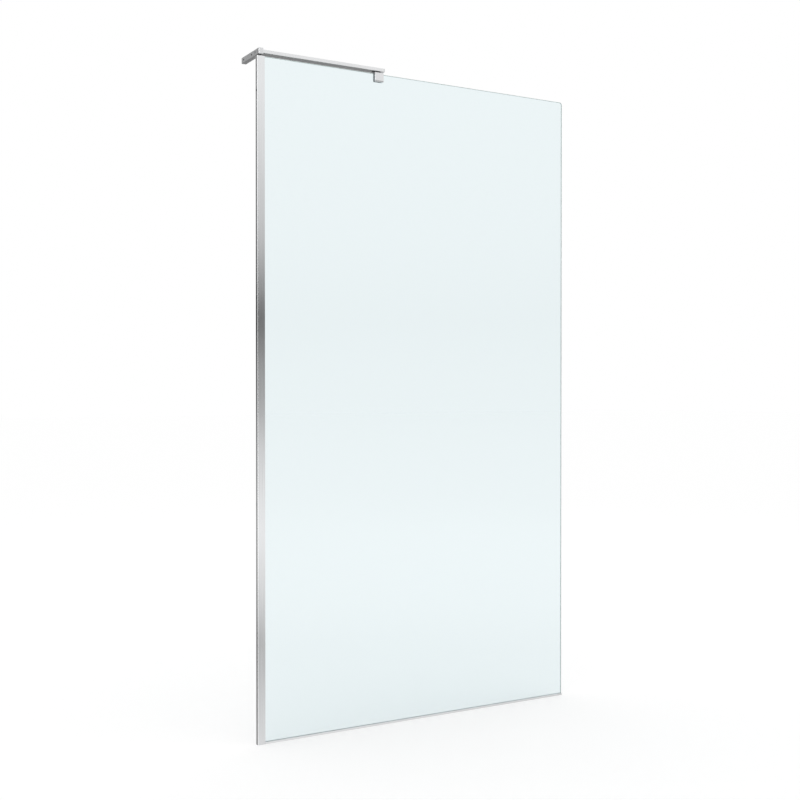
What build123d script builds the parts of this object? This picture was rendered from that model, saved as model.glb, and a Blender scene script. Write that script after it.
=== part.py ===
from build123d import *
import os

# Frame: the wall is the plane x = 0, the glass runs along +X, its centre plane is y = 0,
# the side that faces the room is -Y, and the floor is z = 0. Millimetres.

# Driving sizes of the screen
GLASS_HEIGHT_TOP = 2000.0
PANEL_REACH = 1110.0
GLASS_THICKNESS = 8.0
GLASS_CORNER_RADIUS = 9.0
GLASS_ARRIS = 0.6
WIDTH_ADJUSTMENT = 8.0

# Wall profile
WALL_PROFILE_WIDTH = 23.5
PROFILE_DEPTH = 14.0
PROFILE_WALL = 1.4
WALL_PROFILE_WEB = 1.8
PROFILE_BACK_RADIUS = 1.5
PROFILE_LIP_RADIUS = 0.6
GLASS_EDGE_IN_PROFILE = 12.5
WALL_HOLE_RADIUS = 3.0
WALL_HOLE_SINK_RADIUS = 4.4
WALL_HOLE_OUTER_INSET = 100.0
WALL_HOLE_INNER_INSET = 700.0
GASKET_GROOVE_DEPTH = 0.5
GASKET_GROOVE_WIDTH = 3.0
GASKET_GROOVE_SETBACK = 2.2

# Caps and gaskets
CAP_THICKNESS = 0.9
CAP_PLUG_DEPTH = 9.0
CAP_PLUG_THICKNESS = 1.9
CAP_PLUG_WALL = 1.2
GASKET_LIP_HEIGHT = 0.5
GASKET_LIP_OVERLAP = 0.8
GASKET_LIP_TIP = 0.6
BEAD_REACH = 6.0
BEAD_INNER_THICKNESS = 1.0
WEDGE_REACH = 9.0
WEDGE_INNER_THICKNESS = 0.5
FIT_GAP = 0.1
SLIDING_GAP = 0.1
ASSEMBLY_GAP = 0.3

# Floor profile
FLOOR_PROFILE_HEIGHT = 5.5
FLOOR_PROFILE_BASE = 1.2
FLOOR_END_CAP_THICKNESS = 1.2
FLOOR_CAP_FOOT_LENGTH = 6.0
SETTING_BLOCK_THICKNESS = 1.2
SETTING_BLOCK_LENGTH = 60.0
SETTING_BLOCK_INSET = 250.0

# Brace: a leg on the wall and a hollow bar over the glass
BAR_UNDERSIDE_ABOVE_GLASS = 5.9
BAR_HEIGHT = 10.0
BAR_DEPTH = 30.0
BAR_END_REACH = 418.5
BAR_WALL = 1.8
BAR_EDGE_RADIUS = 0.5
NUT_CHANNEL_WIDTH = 12.4
SCREW_PORT_SPACING = 20.8
SCREW_PORT_RADIUS = 1.7
SCREW_PORT_WALL = 1.2
SCREW_PORT_SLIT = 1.4
LEG_HEIGHT = 17.0
LEG_THICKNESS = 14.4
LEG_LENGTH = 129.2
LEG_FRONT_OVERHANG = 3.5
LEG_EDGE_CHAMFER = 0.5
LEG_HOLE_RADIUS = 2.75
LEG_HOLE_SPACING = 60.0
LEG_HOLE_END_DISTANCE = 16.0
LEG_COUNTERBORE_RADIUS = 5.5
LEG_COUNTERBORE_DEPTH = 6.0
CORNER_BORE_RADIUS = 2.2
CORNER_COUNTERBORE_RADIUS = 4.2
CORNER_COUNTERBORE_DEPTH = 4.5
CORNER_HEAD_RADIUS = 3.8
CORNER_HEAD_HEIGHT = 2.9
CORNER_SCREW_LENGTH = 28.0
BAR_CAP_THICKNESS = 1.0
BAR_CAP_PLUG_DEPTH = 7.0
COVER_FACE_THICKNESS = 1.2
COVER_RIM_DEPTH = 4.0
COVER_RIM_WALL = 0.9

# Glass clamp
CLAMP_WIDTH = 30.0
CLAMP_FRONT_WALL = 3.2
CLAMP_REAR_WALL = 2.7
CLAMP_BRIDGE = 3.8
CLAMP_GRIP = 24.3
CLAMP_BEVEL_HEIGHT = 4.0
CLAMP_BEVEL_DEPTH = 1.8
CLAMP_EDGE_RADIUS = 0.4
CLAMP_ROOF_GAP = 0.2
LINER_THICKNESS = 0.8
LINER_MARGIN = 1.5
PRESSURE_PLATE_THICKNESS = 0.9
COLLAR_RADIUS = 6.0
CLAMP_BOLT_RADIUS = 2.0
CLAMP_BOLT_HEAD_RADIUS = 3.9
CLAMP_BOLT_HEAD_HEIGHT = 1.9
CLAMP_BOLT_END_GAP = 1.5
THREAD_GAP = 0.05
NUT_PLATE_LENGTH = 11.0
NUT_PLATE_THICKNESS = 4.0
NUT_WINDOW_LENGTH = 12.0
GRUB_RADIUS = 2.5
GRUB_SPACING = 16.0
GRUB_RECESS = 0.2
GRUB_HEX_DEPTH = 1.4
HEX_KEY = 2.5
HEX_DEPTH = 2.0

# Places that follow from the driving sizes
HALF_DEPTH = PROFILE_DEPTH / 2
HALF_GLASS = GLASS_THICKNESS / 2
CHANNEL_HALF_WIDTH = HALF_DEPTH - PROFILE_WALL
WALL_PROFILE_TOP = GLASS_HEIGHT_TOP + FIT_GAP
GLASS_BOTTOM = FLOOR_PROFILE_BASE + SETTING_BLOCK_THICKNESS
FLOOR_PROFILE_START = WALL_PROFILE_WIDTH + ASSEMBLY_GAP
FLOOR_PROFILE_END = PANEL_REACH - FLOOR_END_CAP_THICKNESS
FLOOR_PROFILE_LENGTH = FLOOR_PROFILE_END - FLOOR_PROFILE_START
BAR_UNDERSIDE = GLASS_HEIGHT_TOP + BAR_UNDERSIDE_ABOVE_GLASS
BAR_CENTRE_Z = BAR_UNDERSIDE + BAR_HEIGHT / 2
BAR_TUBE_END = BAR_END_REACH - BAR_CAP_THICKNESS
BAR_TUBE_LENGTH = BAR_TUBE_END - LEG_THICKNESS
BAR_CAVITY_HEIGHT = BAR_HEIGHT - 2 * BAR_WALL
LEG_FRONT_Y = -BAR_DEPTH / 2 - LEG_FRONT_OVERHANG
LEG_REAR_Y = LEG_FRONT_Y + LEG_LENGTH
LEG_REAR_HOLE_Y = LEG_REAR_Y - LEG_HOLE_END_DISTANCE
LEG_HOLES_CENTRE_Y = LEG_REAR_HOLE_Y - LEG_HOLE_SPACING / 2
CLAMP_ROOF = GLASS_HEIGHT_TOP + CLAMP_ROOF_GAP
CLAMP_TOP = CLAMP_ROOF + CLAMP_BRIDGE
CLAMP_BOTTOM = GLASS_HEIGHT_TOP - CLAMP_GRIP
CLAMP_START = BAR_END_REACH - CLAMP_WIDTH
CLAMP_CENTRE_X = BAR_END_REACH - CLAMP_WIDTH / 2
CLAMP_FRONT_SEAT = -(HALF_GLASS + LINER_THICKNESS)
CLAMP_FRONT = CLAMP_FRONT_SEAT - CLAMP_FRONT_WALL
CLAMP_REAR_SEAT = HALF_GLASS + LINER_THICKNESS + PRESSURE_PLATE_THICKNESS + FIT_GAP
CLAMP_REAR = CLAMP_REAR_SEAT + CLAMP_REAR_WALL
LINER_WIDTH = CLAMP_WIDTH - 2 * LINER_MARGIN
LINER_HEIGHT = CLAMP_GRIP - 2 * LINER_MARGIN
LINER_CENTRE_Z = CLAMP_BOTTOM + CLAMP_GRIP / 2
NUT_PLATE_UNDERSIDE = BAR_UNDERSIDE + BAR_WALL


def box_between(low, high):
    """A box between two corners."""
    size = [high[i] - low[i] for i in range(3)]
    centre = [(high[i] + low[i]) / 2 for i in range(3)]
    return Pos(*centre) * Box(*size)


def rod(start, axis, radius, length):
    """A round rod from a start point along a global axis direction."""
    plane = Plane(origin=start, z_dir=axis)
    return extrude(plane * Circle(radius), length)


def cone_along(start, axis, start_radius, end_radius, length):
    """A truncated cone from a start point along an axis direction."""
    plane = Plane(origin=start, z_dir=axis)
    return plane * Cone(start_radius, end_radius, length, align=(Align.CENTER, Align.CENTER, Align.MIN))


def hex_socket(start, axis, depth):
    """The hole for a hex key, from its mouth inwards along an axis direction."""
    plane = Plane(origin=start, z_dir=axis)
    return extrude(plane * RegularPolygon(HEX_KEY / 2, 6, major_radius=False), depth)


def rectangle_between(low, high):
    """A rectangular face on the XY plane between two corners."""
    return Pos((low[0] + high[0]) / 2, (low[1] + high[1]) / 2) * Rectangle(high[0] - low[0], high[1] - low[1])


def mirrored(face):
    """The face and its mirror image on the other side of the glass."""
    return [face, mirror(face, about=Plane.XZ)]


def along_x(section, start, length):
    """Extrude a section drawn with its x to the room's +Y and its y up, along +X."""
    plane = Plane(origin=(start, 0, 0), x_dir=(0, 1, 0), z_dir=(1, 0, 0))
    return extrude(plane * section, length)


def groove_faces(mouth):
    """The gasket grooves inside both flanges, set back from the mouth of a channel."""
    far = mouth - GASKET_GROOVE_SETBACK
    groove = rectangle_between(
        (far - GASKET_GROOVE_WIDTH, CHANNEL_HALF_WIDTH - FIT_GAP),
        (far, CHANNEL_HALF_WIDTH + GASKET_GROOVE_DEPTH),
    )
    return mirrored(groove)


def wall_profile():
    """Aluminium channel that stands against the wall and takes the edge of the glass."""
    outline = rectangle_between((0, -HALF_DEPTH), (WALL_PROFILE_WIDTH, HALF_DEPTH))
    outline = fillet(outline.vertices().group_by(Axis.X)[0], PROFILE_BACK_RADIUS)
    outline = fillet(outline.vertices().group_by(Axis.X)[-1], PROFILE_LIP_RADIUS)
    channel = rectangle_between(
        (WALL_PROFILE_WEB, -CHANNEL_HALF_WIDTH), (WALL_PROFILE_WIDTH + FIT_GAP, CHANNEL_HALF_WIDTH)
    )
    section = outline - channel
    for groove in groove_faces(WALL_PROFILE_WIDTH):
        section -= groove
    profile = extrude(section, WALL_PROFILE_TOP)
    sink_depth = WALL_HOLE_SINK_RADIUS - WALL_HOLE_RADIUS
    for inset in (WALL_HOLE_OUTER_INSET, WALL_HOLE_INNER_INSET):
        for height in (inset, GLASS_HEIGHT_TOP - inset):
            profile -= rod((0, 0, height), (1, 0, 0), WALL_HOLE_RADIUS, WALL_PROFILE_WEB)
            sink_start = (WALL_PROFILE_WEB - sink_depth, 0, height)
            profile -= cone_along(sink_start, (1, 0, 0), WALL_HOLE_RADIUS, WALL_HOLE_SINK_RADIUS, sink_depth)
    return profile


def wall_profile_cap():
    """Moulded cap on the top of the wall profile, with a plug between its flanges."""
    plate = rectangle_between((0, -HALF_DEPTH), (WALL_PROFILE_WIDTH, HALF_DEPTH))
    plate = fillet(plate.vertices(), PROFILE_LIP_RADIUS)
    cap = Pos(0, 0, WALL_PROFILE_TOP) * extrude(plate, CAP_THICKNESS)
    plug_front = WALL_PROFILE_WEB + FIT_GAP
    plug_half = CHANNEL_HALF_WIDTH - FIT_GAP
    plug = box_between(
        (plug_front, -plug_half, WALL_PROFILE_TOP - CAP_PLUG_DEPTH),
        (plug_front + CAP_PLUG_THICKNESS, plug_half, WALL_PROFILE_TOP),
    )
    return cap + plug


def wall_gasket(reach_in, inner_thickness):
    """Gasket between a flange of the wall profile and the glass, held by a foot in the groove."""
    glass_face = HALF_GLASS + SLIDING_GAP
    outer = CHANNEL_HALF_WIDTH - FIT_GAP / 2
    inner = outer - inner_thickness
    far = WALL_PROFILE_WIDTH - GASKET_GROOVE_SETBACK
    points = [
        (WALL_PROFILE_WIDTH, glass_face),
        (WALL_PROFILE_WIDTH, outer),
        (WALL_PROFILE_WIDTH - reach_in, outer),
        (WALL_PROFILE_WIDTH - reach_in, inner),
        (far - GASKET_GROOVE_WIDTH, glass_face),
    ]
    foot = rectangle_between(
        (far - GASKET_GROOVE_WIDTH + FIT_GAP, inner),
        (far - FIT_GAP, CHANNEL_HALF_WIDTH + GASKET_GROOVE_DEPTH - FIT_GAP),
    )
    section = make_face(Polyline(*points, close=True)) + foot
    return Pos(0, 0, GLASS_BOTTOM) * extrude(section, GLASS_HEIGHT_TOP - GLASS_BOTTOM)


def wall_gasket_room_side():
    """Short bead gasket on the room side, fitted before the glass."""
    return mirror(wall_gasket(BEAD_REACH, BEAD_INNER_THICKNESS), about=Plane.XZ)


def wall_gasket_wedge():
    """Long wedge gasket on the shower side, pushed in last to hold the glass."""
    return wall_gasket(WEDGE_REACH, WEDGE_INNER_THICKNESS)


def floor_profile():
    """Low aluminium channel on the floor under the glass."""
    low = rectangle_between((-HALF_DEPTH, 0), (HALF_DEPTH, FLOOR_PROFILE_HEIGHT))
    tops = low.vertices().sort_by(Axis.Y)[2:]
    section = fillet(tops, PROFILE_LIP_RADIUS)
    section -= rectangle_between(
        (-CHANNEL_HALF_WIDTH, FLOOR_PROFILE_BASE), (CHANNEL_HALF_WIDTH, FLOOR_PROFILE_HEIGHT + FIT_GAP)
    )
    return along_x(section, FLOOR_PROFILE_START, FLOOR_PROFILE_LENGTH)


def floor_gasket(side):
    """Clear seal between a flange of the floor profile and the glass, with a lip over the flange."""
    glass_face = HALF_GLASS + SLIDING_GAP
    outer = CHANNEL_HALF_WIDTH - FIT_GAP / 2
    lip_outer = CHANNEL_HALF_WIDTH + GASKET_LIP_OVERLAP
    top = FLOOR_PROFILE_HEIGHT + GASKET_LIP_HEIGHT
    points = [
        (glass_face, GLASS_BOTTOM),
        (outer, GLASS_BOTTOM),
        (outer, FLOOR_PROFILE_HEIGHT),
        (lip_outer, FLOOR_PROFILE_HEIGHT),
        (glass_face + GASKET_LIP_TIP, top),
        (glass_face, top),
    ]
    section = make_face(Polyline(*points, close=True))
    if side < 0:
        section = mirror(section, about=Plane.YZ)
    return along_x(section, FLOOR_PROFILE_START, FLOOR_PROFILE_LENGTH)


def floor_profile_end_cap():
    """Moulded cap on the free end of the floor profile, notched for the glass, with a foot in the channel."""
    top = FLOOR_PROFILE_HEIGHT + GASKET_LIP_HEIGHT
    plate = rectangle_between((-HALF_DEPTH, 0), (HALF_DEPTH, top))
    plate = fillet(plate.vertices().sort_by(Axis.Y)[2:], PROFILE_BACK_RADIUS)
    notch_half_width = HALF_GLASS + ASSEMBLY_GAP
    notch_floor = GLASS_BOTTOM - FIT_GAP
    plate -= rectangle_between((-notch_half_width, notch_floor), (notch_half_width, top))
    cap = along_x(plate, FLOOR_PROFILE_END, FLOOR_END_CAP_THICKNESS)
    foot_start = FLOOR_PROFILE_END - FLOOR_CAP_FOOT_LENGTH
    foot_half_width = CHANNEL_HALF_WIDTH - FIT_GAP
    foot = box_between(
        (foot_start, -foot_half_width, FLOOR_PROFILE_BASE + FIT_GAP / 2),
        (FLOOR_PROFILE_END, foot_half_width, notch_floor),
    )
    return cap + foot


def setting_blocks():
    """Plastic blocks in the floor profile that carry the weight of the glass."""
    blocks = []
    for centre in (FLOOR_PROFILE_START + SETTING_BLOCK_INSET, PANEL_REACH - SETTING_BLOCK_INSET):
        low = (centre - SETTING_BLOCK_LENGTH / 2, -HALF_GLASS, FLOOR_PROFILE_BASE)
        high = (centre + SETTING_BLOCK_LENGTH / 2, HALF_GLASS, GLASS_BOTTOM)
        blocks.append(box_between(low, high))
    return Compound(children=blocks)


def glass_panel():
    """Toughened glass with ground edges and a rounded upper corner at its free side."""
    sheet = rectangle_between((GLASS_EDGE_IN_PROFILE, GLASS_BOTTOM), (PANEL_REACH, GLASS_HEIGHT_TOP))
    corner = sheet.vertices().sort_by(Axis.X)[2:].sort_by(Axis.Y)[-1:]
    sheet = fillet(corner, GLASS_CORNER_RADIUS)
    plane = Plane(origin=(0, HALF_GLASS, 0), x_dir=(1, 0, 0), z_dir=(0, -1, 0))
    glass = extrude(plane * sheet, GLASS_THICKNESS)
    faces = glass.faces().filter_by(Axis.Y)
    rims = [edge for face in faces for edge in face.edges()]
    return chamfer(rims, GLASS_ARRIS)


def wall_leg():
    """Solid leg of the brace: screwed flat to the wall, it carries the end of the bar."""
    leg = box_between(
        (0, LEG_FRONT_Y, BAR_CENTRE_Z - LEG_HEIGHT / 2),
        (LEG_THICKNESS, LEG_REAR_Y, BAR_CENTRE_Z + LEG_HEIGHT / 2),
    )
    leg = chamfer(leg.edges(), LEG_EDGE_CHAMFER)
    for side in (-1, 1):
        hole_y = LEG_HOLES_CENTRE_Y + side * LEG_HOLE_SPACING / 2
        leg -= rod((0, hole_y, BAR_CENTRE_Z), (1, 0, 0), LEG_HOLE_RADIUS, LEG_THICKNESS)
        bore_start = (LEG_THICKNESS, hole_y, BAR_CENTRE_Z)
        leg -= rod(bore_start, (-1, 0, 0), LEG_COUNTERBORE_RADIUS, LEG_COUNTERBORE_DEPTH)
        port_y = side * SCREW_PORT_SPACING / 2
        leg -= rod((0, port_y, BAR_CENTRE_Z), (1, 0, 0), CORNER_BORE_RADIUS, LEG_THICKNESS)
        leg -= rod((0, port_y, BAR_CENTRE_Z), (1, 0, 0), CORNER_COUNTERBORE_RADIUS, CORNER_COUNTERBORE_DEPTH)
    return leg


def screw_covers():
    """Push-in covers that close the counterbores of the leg."""
    covers = []
    for side in (-1, 1):
        hole_y = LEG_HOLES_CENTRE_Y + side * LEG_HOLE_SPACING / 2
        start = (LEG_THICKNESS, hole_y, BAR_CENTRE_Z)
        rim_radius = LEG_COUNTERBORE_RADIUS - FIT_GAP
        cover = rod(start, (-1, 0, 0), rim_radius, COVER_RIM_DEPTH)
        inner = (LEG_THICKNESS - COVER_FACE_THICKNESS, hole_y, BAR_CENTRE_Z)
        cover -= rod(inner, (-1, 0, 0), rim_radius - COVER_RIM_WALL, COVER_RIM_DEPTH)
        covers.append(cover)
    return Compound(children=covers)


def screw_port(side):
    """Section of a screw port that grows from the outer wall of the bar, slit on its inner side."""
    centre = side * SCREW_PORT_SPACING / 2
    outer_radius = SCREW_PORT_RADIUS + SCREW_PORT_WALL
    web_end = side * (BAR_DEPTH / 2 - BAR_WALL)
    web = rectangle_between(
        (min(centre, web_end), -SCREW_PORT_WALL / 2), (max(centre, web_end), SCREW_PORT_WALL / 2)
    )
    port = Pos(centre, 0) * Circle(outer_radius) + web
    port -= Pos(centre, 0) * Circle(SCREW_PORT_RADIUS)
    slit_end = centre - side * outer_radius
    slit = rectangle_between(
        (min(centre, slit_end), -SCREW_PORT_SLIT / 2), (max(centre, slit_end), SCREW_PORT_SLIT / 2)
    )
    return port - slit


def bar_section():
    """Section of the bar: a nut channel in the middle and a cell with a screw port on each side."""
    outline = RectangleRounded(BAR_DEPTH, BAR_HEIGHT, BAR_EDGE_RADIUS)
    section = outline - Rectangle(NUT_CHANNEL_WIDTH, BAR_CAVITY_HEIGHT)
    cell_inner = NUT_CHANNEL_WIDTH / 2 + BAR_WALL / 2
    cell_outer = BAR_DEPTH / 2 - BAR_WALL
    for side in (-1, 1):
        cell = rectangle_between(
            (min(side * cell_inner, side * cell_outer), -BAR_CAVITY_HEIGHT / 2),
            (max(side * cell_inner, side * cell_outer), BAR_CAVITY_HEIGHT / 2),
        )
        section -= cell
        section += screw_port(side)
    return section


def brace_bar():
    """Hollow bar over the glass: a window in its underside lets the nut plate in, a slot guides the bolt."""
    bar = along_x(Pos(0, BAR_CENTRE_Z) * bar_section(), LEG_THICKNESS, BAR_TUBE_LENGTH)
    slot_width = 2 * (CLAMP_BOLT_RADIUS + ASSEMBLY_GAP)
    window_end = CLAMP_CENTRE_X - WIDTH_ADJUSTMENT - slot_width / 2 - ASSEMBLY_GAP
    window = box_between(
        (window_end - NUT_WINDOW_LENGTH, -NUT_CHANNEL_WIDTH / 2, BAR_UNDERSIDE),
        (window_end, NUT_CHANNEL_WIDTH / 2, BAR_UNDERSIDE + BAR_WALL),
    )
    slot_start = window_end - slot_width / 2
    slot_end = CLAMP_CENTRE_X + slot_width / 2 + ASSEMBLY_GAP
    slot = Pos((slot_start + slot_end) / 2, 0) * SlotOverall(slot_end - slot_start, slot_width)
    return bar - window - Pos(0, 0, BAR_UNDERSIDE) * extrude(slot, BAR_WALL)


def bar_end_cap():
    """Moulded cap in the free end of the bar, with a plug in its middle channel."""
    face = RectangleRounded(BAR_DEPTH, BAR_HEIGHT, BAR_EDGE_RADIUS)
    cap = along_x(Pos(0, BAR_CENTRE_Z) * face, BAR_TUBE_END, BAR_CAP_THICKNESS)
    plug_width = NUT_CHANNEL_WIDTH - 2 * FIT_GAP
    plug_height = BAR_CAVITY_HEIGHT - 2 * FIT_GAP
    ring = Rectangle(plug_width, plug_height)
    ring -= Rectangle(plug_width - 2 * CAP_PLUG_WALL, plug_height - 2 * CAP_PLUG_WALL)
    plug = along_x(Pos(0, BAR_CENTRE_Z) * ring, BAR_TUBE_END - BAR_CAP_PLUG_DEPTH, BAR_CAP_PLUG_DEPTH)
    return cap + plug


def corner_screws():
    """Screws through the leg into the screw ports of the bar, heads sunk in the wall side."""
    screws = []
    for side in (-1, 1):
        port_y = side * SCREW_PORT_SPACING / 2
        seat = (CORNER_COUNTERBORE_DEPTH, port_y, BAR_CENTRE_Z)
        head = rod(seat, (-1, 0, 0), CORNER_HEAD_RADIUS, CORNER_HEAD_HEIGHT)
        shank = rod(seat, (1, 0, 0), SCREW_PORT_RADIUS - THREAD_GAP, CORNER_SCREW_LENGTH)
        head_top = (CORNER_COUNTERBORE_DEPTH - CORNER_HEAD_HEIGHT, port_y, BAR_CENTRE_Z)
        screws.append(head + shank - hex_socket(head_top, (1, 0, 0), HEX_DEPTH))
    return Compound(children=screws)


def clamp_body():
    """Block that straddles the top of the glass, bevelled below, with holes for its grub screws."""
    outline = Polyline(
        (CLAMP_FRONT, CLAMP_TOP),
        (CLAMP_REAR, CLAMP_TOP),
        (CLAMP_REAR, CLAMP_BOTTOM + CLAMP_BEVEL_HEIGHT),
        (CLAMP_REAR - CLAMP_BEVEL_DEPTH, CLAMP_BOTTOM),
        (CLAMP_FRONT + CLAMP_BEVEL_DEPTH, CLAMP_BOTTOM),
        (CLAMP_FRONT, CLAMP_BOTTOM + CLAMP_BEVEL_HEIGHT),
        close=True,
    )
    block = along_x(make_face(outline), CLAMP_START, CLAMP_WIDTH)
    block = fillet(block.edges(), CLAMP_EDGE_RADIUS)
    block -= box_between(
        (CLAMP_START, CLAMP_FRONT_SEAT, CLAMP_BOTTOM), (BAR_END_REACH, CLAMP_REAR_SEAT, CLAMP_ROOF)
    )
    bolt_start = (CLAMP_CENTRE_X, 0, CLAMP_ROOF)
    block -= rod(bolt_start, (0, 0, 1), CLAMP_BOLT_RADIUS + THREAD_GAP, CLAMP_BRIDGE)
    sink_radius = CLAMP_BOLT_HEAD_RADIUS + THREAD_GAP
    sink_end = CLAMP_BOLT_RADIUS + THREAD_GAP
    block -= cone_along(bolt_start, (0, 0, 1), sink_radius, sink_end, CLAMP_BOLT_HEAD_HEIGHT)
    for x in grub_places():
        block -= rod((x, CLAMP_REAR_SEAT, LINER_CENTRE_Z), (0, 1, 0), GRUB_RADIUS, CLAMP_REAR_WALL)
    return block


def grub_places():
    """The grub screws' places along the clamp."""
    return [CLAMP_CENTRE_X - GRUB_SPACING / 2, CLAMP_CENTRE_X + GRUB_SPACING / 2]


def grub_screws():
    """Grub screws with a hex socket that press the plate against the glass."""
    tip = CLAMP_REAR_SEAT - FIT_GAP
    length = CLAMP_REAR - GRUB_RECESS - tip
    screws = []
    for x in grub_places():
        screw = rod((x, tip, LINER_CENTRE_Z), (0, 1, 0), GRUB_RADIUS - THREAD_GAP, length)
        screws.append(screw - hex_socket((x, tip + length, LINER_CENTRE_Z), (0, -1, 0), GRUB_HEX_DEPTH))
    return Compound(children=screws)


def clamp_layer(near, thickness):
    """A flat layer of the clamp beside the glass, from near the glass outwards along Y."""
    return box_between(
        (CLAMP_CENTRE_X - LINER_WIDTH / 2, near, LINER_CENTRE_Z - LINER_HEIGHT / 2),
        (CLAMP_CENTRE_X + LINER_WIDTH / 2, near + thickness, LINER_CENTRE_Z + LINER_HEIGHT / 2),
    )


def clamp_collar():
    """Round spacer between the clamp and the underside of the bar."""
    height = BAR_UNDERSIDE - CLAMP_TOP
    collar = rod((CLAMP_CENTRE_X, 0, CLAMP_TOP), (0, 0, 1), COLLAR_RADIUS, height)
    return collar - rod((CLAMP_CENTRE_X, 0, CLAMP_TOP), (0, 0, 1), CLAMP_BOLT_RADIUS + THREAD_GAP, height)


def clamp_bolt():
    """Countersunk bolt from inside the clamp, up through the collar into the nut plate."""
    top = BAR_UNDERSIDE + BAR_HEIGHT - BAR_WALL - CLAMP_BOLT_END_GAP
    start = (CLAMP_CENTRE_X, 0, CLAMP_ROOF)
    bolt = rod(start, (0, 0, 1), CLAMP_BOLT_RADIUS, top - CLAMP_ROOF)
    bolt += cone_along(start, (0, 0, 1), CLAMP_BOLT_HEAD_RADIUS, CLAMP_BOLT_RADIUS, CLAMP_BOLT_HEAD_HEIGHT)
    return bolt - hex_socket(start, (0, 0, 1), HEX_DEPTH)


def nut_plate():
    """Threaded plate that slides in the middle channel of the bar."""
    half_width = NUT_CHANNEL_WIDTH / 2 - ASSEMBLY_GAP
    plate = box_between(
        (CLAMP_CENTRE_X - NUT_PLATE_LENGTH / 2, -half_width, NUT_PLATE_UNDERSIDE),
        (CLAMP_CENTRE_X + NUT_PLATE_LENGTH / 2, half_width, NUT_PLATE_UNDERSIDE + NUT_PLATE_THICKNESS),
    )
    start = (CLAMP_CENTRE_X, 0, NUT_PLATE_UNDERSIDE)
    return plate - rod(start, (0, 0, 1), CLAMP_BOLT_RADIUS + THREAD_GAP, NUT_PLATE_THICKNESS)


def pieces():
    """Every node of the screen by name."""
    plate_near = HALF_GLASS + LINER_THICKNESS
    return {
        "wall_profile": wall_profile(),
        "wall_profile_cap": wall_profile_cap(),
        "wall_gasket_room_side": wall_gasket_room_side(),
        "wall_gasket_wedge": wall_gasket_wedge(),
        "floor_profile": floor_profile(),
        "floor_profile_end_cap": floor_profile_end_cap(),
        "floor_gasket_room_side": floor_gasket(-1),
        "floor_gasket_shower_side": floor_gasket(1),
        "glass_setting_blocks": setting_blocks(),
        "brace_wall_leg": wall_leg(),
        "brace_screw_covers": screw_covers(),
        "brace_bar": brace_bar(),
        "brace_bar_end_cap": bar_end_cap(),
        "brace_corner_screws": corner_screws(),
        "glass_panel": glass_panel(),
        "clamp_body": clamp_body(),
        "clamp_liner_front": clamp_layer(-HALF_GLASS - LINER_THICKNESS, LINER_THICKNESS),
        "clamp_liner_rear": clamp_layer(HALF_GLASS, LINER_THICKNESS),
        "clamp_pressure_plate": clamp_layer(plate_near, PRESSURE_PLATE_THICKNESS),
        "clamp_grub_screws": grub_screws(),
        "clamp_collar": clamp_collar(),
        "clamp_bolt": clamp_bolt(),
        "clamp_nut_plate": nut_plate(),
    }


def main():
    os.makedirs("parts", exist_ok=True)
    for name, shape in pieces().items():
        export_step(shape, f"parts/{name}.step")


main()
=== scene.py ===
import math
import bpy
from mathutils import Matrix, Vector

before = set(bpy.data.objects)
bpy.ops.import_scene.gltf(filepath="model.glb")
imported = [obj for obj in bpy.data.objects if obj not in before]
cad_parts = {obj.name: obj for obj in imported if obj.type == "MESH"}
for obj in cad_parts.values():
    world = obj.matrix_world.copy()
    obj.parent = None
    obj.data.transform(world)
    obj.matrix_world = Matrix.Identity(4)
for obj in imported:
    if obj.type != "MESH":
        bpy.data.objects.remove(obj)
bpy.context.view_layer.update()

# Camera, fitted by least squares to the photograph's edges of the glass, profile and brace
CAMERA_PLACE = (-1.3344, -3.1185, 1.0344)
CAMERA_YAW = math.radians(30.204)
CAMERA_PITCH = math.radians(-0.53)
CAMERA_LENS_MM = 52.23
SENSOR_MM = 36.0
CAMERA_REACH = 200

# Floor: a matt paper, lifted to white for the camera and through glass
FLOOR_HALF_SIZE = 40.0
FLOOR_COLOUR = (0.60, 0.60, 0.60, 1)
FLOOR_LIFT = 0.480

# The point that both lamps are turned to, near the middle of the glass
LAMP_TARGET = (0.5, 0, 1.0)

# World: its light on matt surfaces, and the white that the camera sees, also through glass
WORLD_DIFFUSE = 0.86
BACKGROUND_WHITE = 1.0

# Reflected room, as the height of a direction against brightness: in front of the glass, and
# behind it on the free side. Behind it on the wall side the front's bands are dimmed.
FRONT_BANDS = (
    (-1.00, 0.42),
    (-0.52, 0.34),
    (-0.34, 0.92),
    (-0.25, 0.66),
    (-0.215, 0.46),
    (-0.18, 0.74),
    (-0.12, 0.97),
    (-0.045, 0.68),
    (-0.012, 0.43),
    (0.02, 0.36),
    (0.058, 0.14),
    (0.13, 0.60),
    (0.25, 0.90),
    (1.00, 0.88),
)
REAR_BANDS = (
    (-1.00, 0.40),
    (-0.40, 0.20),
    (-0.22, 0.16),
    (-0.12, 0.80),
    (-0.03, 0.52),
    (0.058, 0.20),
    (0.13, 0.56),
    (0.25, 0.84),
    (1.00, 0.80),
)
REAR_WALL_SIDE = 0.37

# Where one part of that room gives way to the next, as the X or the Y of a direction
WALL_SIDE_X = (-0.38, -0.02)
REAR_Y = (-0.3, 0.6)

# Narrow bright strip beside the wall, which draws the line of light on the rounded edges
STRIP_BRIGHTNESS = 3.20
STRIP_X = (-0.87, -0.84)
STRIP_Y = (-0.20, -0.10)

# The middle part of a noise's range, where nearly all its values lie
NOISE_LOW = 0.3
NOISE_HIGH = 0.7

# Stretch of the object's coordinates for a texture, and the depth of the fine grain in metres
UNSTRETCHED = (1, 1, 1)
METAL_CLOUDS = (9, 9, 9)
GRAIN_DEPTH = 0.0001

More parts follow.
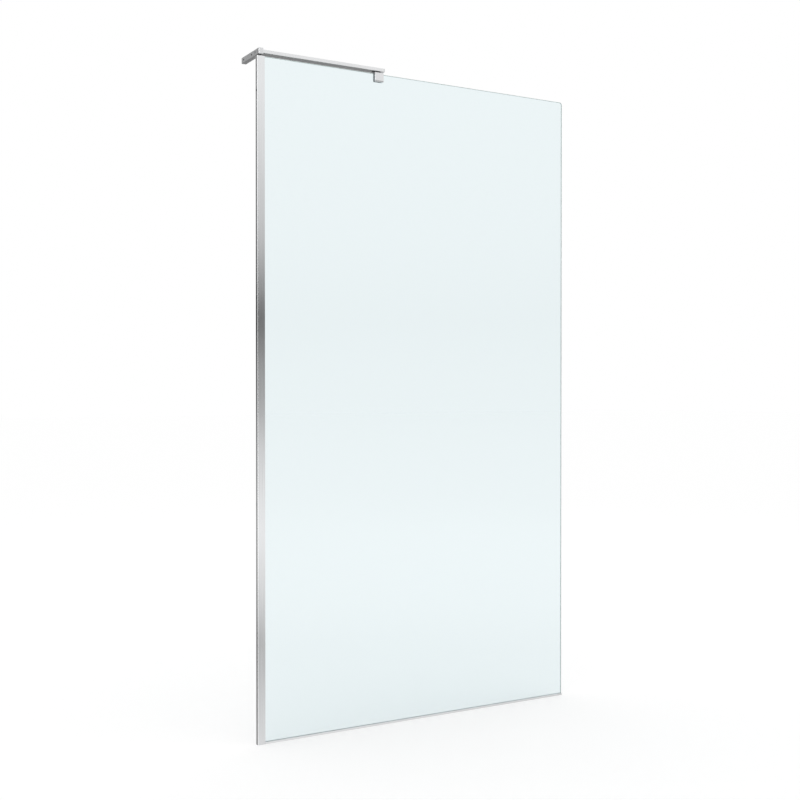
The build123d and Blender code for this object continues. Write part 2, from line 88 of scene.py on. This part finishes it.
# Uneven gloss of metal that comes with its clouds, and the scale of the clouds in plastic
METAL_CLOUD_GLOSS = (-0.02, 0.03)
PLASTIC_CLOUD_SCALE = 40.0

# Chrome: its two colours and its gloss, which follow wipe marks, and its polishing waves
CHROME_DARK = (0.77, 0.78, 0.79, 1)
CHROME_LIGHT = (0.87, 0.87, 0.88, 1)
CHROME_ROUGHNESS = (0.05, 0.12)
CHROME_WIPES = (300, 300, 80)
CHROME_WAVES = (60, 60, 60)
CHROME_WAVE_STRENGTH = 0.06
CHROME_WAVE_DEPTH = 0.0005

# Glass: the tints of its faces, of its ground edges, of its upright edges (the free edge among
# them) and of its shadow. The upright edges take a darker copy of the grey-green edge tint, which
# is painted shade. The edges let half of the light through, and are rough.
GLASS_IOR = 1.5
SHEET_TINT = (0.843, 0.916, 0.931, 1)
EDGE_TINT = (0.46, 0.60, 0.57, 1)
SIDE_EDGE_TINT_AND_SHADE = (0.30, 0.43, 0.40, 1)
SHADOW_TINT = (0.93, 0.96, 0.96, 1)
EDGE_TRANSMISSION = 0.5
EDGE_ROUGHNESS = (0.30, 0.45)
EDGE_GRINDING = (900, 900, 900)

# How much of a normal has to lie along an axis for its face to count as facing that way
FACING = (0.8, 0.95)


def new_material(name):
    """A material with nodes and nothing in it but its output."""
    material = bpy.data.materials.new(name)
    material.use_nodes = True
    tree = material.node_tree
    tree.nodes.clear()
    output = tree.nodes.new("ShaderNodeOutputMaterial")
    return material, tree, output


def principled(tree, **sockets):
    """A Principled shader with its plain values set on its own sockets."""
    shader = tree.nodes.new("ShaderNodeBsdfPrincipled")
    for name, value in sockets.items():
        shader.inputs[name.replace("_", " ")].default_value = value
    return shader


def object_coordinates(tree, scale):
    """The object's own coordinates, stretched, which are the model's metres times the scale."""
    source = tree.nodes.new("ShaderNodeTexCoord")
    mapping = tree.nodes.new("ShaderNodeMapping")
    mapping.inputs["Scale"].default_value = scale
    tree.links.new(source.outputs["Object"], mapping.inputs["Vector"])
    return mapping.outputs["Vector"]


def noise(tree, vector, scale=1.0, detail=3.0, roughness=0.5):
    """A noise texture's factor."""
    node = tree.nodes.new("ShaderNodeTexNoise")
    node.inputs["Scale"].default_value = scale
    node.inputs["Detail"].default_value = detail
    node.inputs["Roughness"].default_value = roughness
    tree.links.new(vector, node.inputs["Vector"])
    return node.outputs["Fac"]


def spread(tree, factor, low, high, from_low=NOISE_LOW, from_high=NOISE_HIGH):
    """Map part of a factor's range onto low to high; by default the middle of a noise's range."""
    node = tree.nodes.new("ShaderNodeMapRange")
    node.inputs["From Min"].default_value = from_low
    node.inputs["From Max"].default_value = from_high
    node.inputs["To Min"].default_value = low
    node.inputs["To Max"].default_value = high
    tree.links.new(factor, node.inputs["Value"])
    return node.outputs["Result"]


def product(tree, first, second):
    """Two values multiplied."""
    node = tree.nodes.new("ShaderNodeMath")
    node.operation = "MULTIPLY"
    tree.links.new(first, node.inputs[0])
    tree.links.new(second, node.inputs[1])
    return node.outputs[0]


def scaled(tree, value, scale):
    """A value times a number."""
    node = tree.nodes.new("ShaderNodeMath")
    node.operation = "MULTIPLY"
    node.inputs[1].default_value = scale
    tree.links.new(value, node.inputs[0])
    return node.outputs[0]


def blend(tree, factor, first, second):
    """The first where the factor is zero, the second where it is one; each a number or a socket."""
    node = tree.nodes.new("ShaderNodeMix")
    node.data_type = "FLOAT"
    tree.links.new(factor, node.inputs["Factor"])
    for name, value in (("A", first), ("B", second)):
        if isinstance(value, float):
            node.inputs[name].default_value = value
        else:
            tree.links.new(value, node.inputs[name])
    return node.outputs["Result"]


def two_colours(tree, factor, first, second):
    """Mix two colours by a factor; each a colour or a socket."""
    node = tree.nodes.new("ShaderNodeMix")
    node.data_type = "RGBA"
    tree.links.new(factor, node.inputs["Factor"])
    for name, value in (("A", first), ("B", second)):
        if isinstance(value, tuple):
            node.inputs[name].default_value = value
        else:
            tree.links.new(value, node.inputs[name])
    return node.outputs["Result"]


def bump(tree, height, strength, distance):
    """A bump normal from a height."""
    node = tree.nodes.new("ShaderNodeBump")
    node.inputs["Strength"].default_value = strength
    node.inputs["Distance"].default_value = distance
    tree.links.new(height, node.inputs["Height"])
    return node.outputs["Normal"]


def drawn_metal(name, dark, light, rough_low, rough_high, grain, grain_strength):
    """Metal with fine lines along the way it was drawn or brushed, set by the grain's scale."""
    material, tree, output = new_material(name)
    shader = principled(tree, Metallic=1.0)
    lines = noise(tree, object_coordinates(tree, grain), detail=4.0, roughness=0.6)
    clouds = noise(tree, object_coordinates(tree, METAL_CLOUDS), detail=2.0)
    colour = two_colours(tree, spread(tree, lines, 0, 1), dark, light)
    tree.links.new(colour, shader.inputs["Base Color"])
    roughness = tree.nodes.new("ShaderNodeMath")
    roughness.operation = "ADD"
    tree.links.new(spread(tree, lines, rough_low, rough_high), roughness.inputs[0])
    tree.links.new(spread(tree, clouds, *METAL_CLOUD_GLOSS), roughness.inputs[1])
    tree.links.new(roughness.outputs[0], shader.inputs["Roughness"])
    tree.links.new(bump(tree, lines, grain_strength, GRAIN_DEPTH), shader.inputs["Normal"])
    tree.links.new(shader.outputs[0], output.inputs["Surface"])
    return material


def chrome():
    """Chrome plate with faint polishing waviness and small changes of gloss."""
    material, tree, output = new_material("clamp_chrome")
    shader = principled(tree, Metallic=1.0)
    waves = noise(tree, object_coordinates(tree, CHROME_WAVES), detail=2.0)
    wipes = noise(tree, object_coordinates(tree, CHROME_WIPES))
    colour = two_colours(tree, wipes, CHROME_DARK, CHROME_LIGHT)
    tree.links.new(colour, shader.inputs["Base Color"])
    tree.links.new(spread(tree, wipes, *CHROME_ROUGHNESS), shader.inputs["Roughness"])
    relief = bump(tree, waves, CHROME_WAVE_STRENGTH, CHROME_WAVE_DEPTH)
    tree.links.new(relief, shader.inputs["Normal"])
    tree.links.new(shader.outputs[0], output.inputs["Surface"])
    return material


def plastic(name, first, second, rough_low, rough_high, grain_scale, grain_strength, coat=0.0):
    """Moulded plastic or rubber with a fine grain and slight colour changes."""
    material, tree, output = new_material(name)
    shader = principled(tree, Coat_Weight=coat)
    grain = noise(tree, object_coordinates(tree, UNSTRETCHED), grain_scale)
    clouds = noise(tree, object_coordinates(tree, UNSTRETCHED), PLASTIC_CLOUD_SCALE, detail=2.0)
    colour = two_colours(tree, spread(tree, clouds, 0, 1), first, second)
    tree.links.new(colour, shader.inputs["Base Color"])
    tree.links.new(spread(tree, grain, rough_low, rough_high), shader.inputs["Roughness"])
    tree.links.new(bump(tree, grain, grain_strength, GRAIN_DEPTH), shader.inputs["Normal"])
    tree.links.new(shader.outputs[0], output.inputs["Surface"])
    return material


def facing(tree, component):
    """One where a normal's component is near one or minus one, zero elsewhere."""
    node = tree.nodes.new("ShaderNodeMath")
    node.operation = "ABSOLUTE"
    tree.links.new(component, node.inputs[0])
    return spread(tree, node.outputs[0], 0, 1, *FACING)


def clear_glass():
    """Clear glass: a faint cool tint through its faces, and half matt grey-green ground edges."""
    material, tree, output = new_material("clear_glass")
    shader = principled(tree, Transmission_Weight=1.0, IOR=GLASS_IOR)
    geometry = tree.nodes.new("ShaderNodeNewGeometry")
    axes = tree.nodes.new("ShaderNodeSeparateXYZ")
    tree.links.new(geometry.outputs["Normal"], axes.inputs[0])
    sheet = facing(tree, axes.outputs["Y"])
    # The upright edges take a darker copy of the grey-green edge tint: painted shade on them
    shaded_side_edges = facing(tree, axes.outputs["X"])
    edge_tint_and_shade = two_colours(tree, shaded_side_edges, EDGE_TINT, SIDE_EDGE_TINT_AND_SHADE)
    tree.links.new(two_colours(tree, sheet, edge_tint_and_shade, SHEET_TINT), shader.inputs["Base Color"])
    grinding = noise(tree, object_coordinates(tree, EDGE_GRINDING), detail=2.0)
    ground = spread(tree, grinding, *EDGE_ROUGHNESS)
    tree.links.new(blend(tree, sheet, ground, 0.0), shader.inputs["Roughness"])
    clearness = blend(tree, sheet, EDGE_TRANSMISSION, 1.0)
    tree.links.new(clearness, shader.inputs["Transmission Weight"])
    let_through = tree.nodes.new("ShaderNodeBsdfTransparent")
    let_through.inputs["Color"].default_value = SHADOW_TINT
    rays = tree.nodes.new("ShaderNodeLightPath")
    mix = tree.nodes.new("ShaderNodeMixShader")
    tree.links.new(rays.outputs["Is Shadow Ray"], mix.inputs["Fac"])
    tree.links.new(shader.outputs[0], mix.inputs[1])
    tree.links.new(let_through.outputs[0], mix.inputs[2])
    tree.links.new(mix.outputs[0], output.inputs["Surface"])
    return material


def dress(material, *nodes):
    """Give CAD nodes a material."""
    for node in nodes:
        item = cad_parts[node]
        if not item.material_slots:
            item.data.materials.append(material)
        for slot in item.material_slots:
            slot.material = material


def ray_mask(tree, *names):
    """One for rays of these kinds, zero for others."""
    rays = tree.nodes.new("ShaderNodeLightPath")
    mask = rays.outputs[names[0]]
    for name in names[1:]:
        either = tree.nodes.new("ShaderNodeMath")
        either.operation = "MAXIMUM"
        tree.links.new(mask, either.inputs[0])
        tree.links.new(rays.outputs[name], either.inputs[1])
        mask = either.outputs[0]
    return mask


def floor():
    """A large pale floor that reads as white and keeps the object's shadow."""
    mesh = bpy.data.meshes.new("floor")
    half = FLOOR_HALF_SIZE
    corners = [(-half, -half, 0), (half, -half, 0), (half, half, 0), (-half, half, 0)]
    mesh.from_pydata(corners, [], [(0, 1, 2, 3)])
    item = bpy.data.objects.new("floor", mesh)
    bpy.context.scene.collection.objects.link(item)
    material, tree, output = new_material("floor_paper")
    matt = tree.nodes.new("ShaderNodeBsdfDiffuse")
    matt.inputs["Color"].default_value = FLOOR_COLOUR
    glow = tree.nodes.new("ShaderNodeEmission")
    lift = scaled(tree, ray_mask(tree, "Is Camera Ray", "Is Transmission Ray"), FLOOR_LIFT)
    tree.links.new(lift, glow.inputs["Strength"])
    both = tree.nodes.new("ShaderNodeAddShader")
    tree.links.new(matt.outputs[0], both.inputs[0])
    tree.links.new(glow.outputs[0], both.inputs[1])
    tree.links.new(both.outputs[0], output.inputs["Surface"])
    mesh.materials.append(material)
    item.visible_glossy = False


def bands(tree, height, levels):
    """Brightness by the height of a direction."""
    ramp = tree.nodes.new("ShaderNodeValToRGB")
    stops = ramp.color_ramp.elements
    while len(stops) < len(levels):
        stops.new(0.5)
    for stop, (level, brightness) in zip(stops, levels):
        stop.position = (level + 1) / 2
        stop.color = (brightness, brightness, brightness, 1)
    tree.links.new(height, ramp.inputs["Fac"])
    return ramp.outputs["Color"]


def studio_world():
    """White to the camera and through glass, even light on matt surfaces, a room in reflections.

    The room has bands of light, other bands behind the glass, and a bright strip beside the wall.
    """
    world = bpy.data.worlds.new("studio")
    world.use_nodes = True
    bpy.context.scene.world = world
    tree = world.node_tree
    tree.nodes.clear()
    direction = tree.nodes.new("ShaderNodeTexCoord")
    axes = tree.nodes.new("ShaderNodeSeparateXYZ")
    tree.links.new(direction.outputs["Generated"], axes.inputs[0])
    height = spread(tree, axes.outputs["Z"], 0, 1, -1, 1)
    front = bands(tree, height, FRONT_BANDS)
    wall_side = spread(tree, axes.outputs["X"], 1, 0, *WALL_SIDE_X)
    free_side_bands = bands(tree, height, REAR_BANDS)
    rear = blend(tree, wall_side, free_side_bands, scaled(tree, front, REAR_WALL_SIDE))
    banded = blend(tree, spread(tree, axes.outputs["Y"], 0, 1, *REAR_Y), front, rear)
    to_the_side = spread(tree, axes.outputs["X"], STRIP_BRIGHTNESS, 0, *STRIP_X)
    in_front = spread(tree, axes.outputs["Y"], 1, 0, *STRIP_Y)
    reflected = tree.nodes.new("ShaderNodeMath")
    reflected.operation = "ADD"
    tree.links.new(banded, reflected.inputs[0])
    tree.links.new(product(tree, to_the_side, in_front), reflected.inputs[1])
    level = blend(tree, ray_mask(tree, "Is Glossy Ray"), WORLD_DIFFUSE, reflected.outputs[0])
    straight = ray_mask(tree, "Is Camera Ray", "Is Transmission Ray")
    seen = blend(tree, straight, level, BACKGROUND_WHITE)
    background = tree.nodes.new("ShaderNodeBackground")
    background.inputs["Color"].default_value = (1, 1, 1, 1)
    tree.links.new(seen, background.inputs["Strength"])
    output = tree.nodes.new("ShaderNodeOutputWorld")
    tree.links.new(background.outputs[0], output.inputs["Surface"])


def area_lamp(name, place, target, size, power):
    """A soft square lamp that looks at a point, and isn't seen in metal or through glass."""
    data = bpy.data.lights.new(name, "AREA")
    data.shape = "SQUARE"
    data.size = size
    data.energy = power
    item = bpy.data.objects.new(name, data)
    item.location = place
    item.rotation_euler = (Vector(target) - Vector(place)).to_track_quat("-Z", "Y").to_euler()
    item.visible_glossy = False
    item.visible_transmission = False
    bpy.context.scene.collection.objects.link(item)


def camera():
    """The camera at the photograph's place and angle."""
    data = bpy.data.cameras.new("camera")
    data.sensor_width = SENSOR_MM
    data.lens = CAMERA_LENS_MM
    data.clip_end = CAMERA_REACH
    item = bpy.data.objects.new("camera", data)
    item.location = CAMERA_PLACE
    item.rotation_euler = (math.pi / 2 + CAMERA_PITCH, 0, -CAMERA_YAW)
    bpy.context.scene.collection.objects.link(item)
    bpy.context.scene.camera = item


camera()
studio_world()
floor()
area_lamp("key", place=(-2.2, -3.4, 4.6), target=LAMP_TARGET, size=3.0, power=13)
area_lamp("fill", place=(3.6, 2.6, 4.2), target=LAMP_TARGET, size=3.5, power=8)

dress(
    drawn_metal(
        "profile_finish", dark=(0.80, 0.81, 0.82, 1), light=(0.92, 0.93, 0.94, 1),
        rough_low=0.06, rough_high=0.10, grain=(1600, 1600, 6), grain_strength=0.04,
    ),
    "wall_profile",
)
dress(
    drawn_metal(
        "floor_finish", dark=(0.89, 0.90, 0.91, 1), light=(0.97, 0.97, 0.98, 1),
        rough_low=0.10, rough_high=0.16, grain=(6, 1600, 1600), grain_strength=0.04,
    ),
    "floor_profile",
)
dress(
    drawn_metal(
        "leg_finish", dark=(0.76, 0.77, 0.78, 1), light=(0.94, 0.95, 0.96, 1),
        rough_low=0.20, rough_high=0.30, grain=(2200, 30, 2200), grain_strength=0.08,
    ),
    "brace_wall_leg",
)
dress(
    drawn_metal(
        "bar_finish", dark=(0.86, 0.87, 0.88, 1), light=(0.97, 0.975, 0.98, 1),
        rough_low=0.18, rough_high=0.27, grain=(30, 2200, 2200), grain_strength=0.07,
    ),
    "brace_bar",
)
dress(chrome(), "clamp_body", "clamp_pressure_plate")
dress(
    drawn_metal(
        "fastener_steel", dark=(0.45, 0.45, 0.46, 1), light=(0.62, 0.62, 0.63, 1),
        rough_low=0.25, rough_high=0.35, grain=(900, 900, 900), grain_strength=0.1,
    ),
    "clamp_grub_screws", "clamp_bolt", "clamp_nut_plate", "brace_corner_screws",
)
dress(
    plastic(
        "cap_plastic", (0.60, 0.61, 0.62, 1), (0.66, 0.67, 0.68, 1),
        rough_low=0.28, rough_high=0.36, grain_scale=900.0, grain_strength=0.05, coat=0.3,
    ),
    "floor_profile_end_cap", "brace_bar_end_cap", "brace_screw_covers",
)
dress(
    plastic(
        "gasket_rubber", (0.74, 0.76, 0.77, 1), (0.82, 0.84, 0.85, 1),
        rough_low=0.30, rough_high=0.42, grain_scale=700.0, grain_strength=0.08,
    ),
    "wall_gasket_room_side", "wall_gasket_wedge",
    "floor_gasket_room_side", "floor_gasket_shower_side",
)
dress(
    plastic(
        "liner_rubber", (0.030, 0.030, 0.032, 1), (0.045, 0.045, 0.047, 1),
        rough_low=0.55, rough_high=0.70, grain_scale=1200.0, grain_strength=0.2,
    ),
    "clamp_liner_front", "clamp_liner_rear",
)
dress(
    plastic(
        "cap_black", (0.020, 0.020, 0.021, 1), (0.030, 0.030, 0.032, 1),
        rough_low=0.30, rough_high=0.40, grain_scale=900.0, grain_strength=0.1,
    ),
    "wall_profile_cap", "clamp_collar",
)
dress(
    plastic(
        "block_plastic", (0.76, 0.76, 0.74, 1), (0.82, 0.82, 0.80, 1),
        rough_low=0.45, rough_high=0.55, grain_scale=500.0, grain_strength=0.1,
    ),
    "glass_setting_blocks",
)
dress(clear_glass(), "glass_panel")

bpy.context.scene.view_settings.view_transform = "Standard"
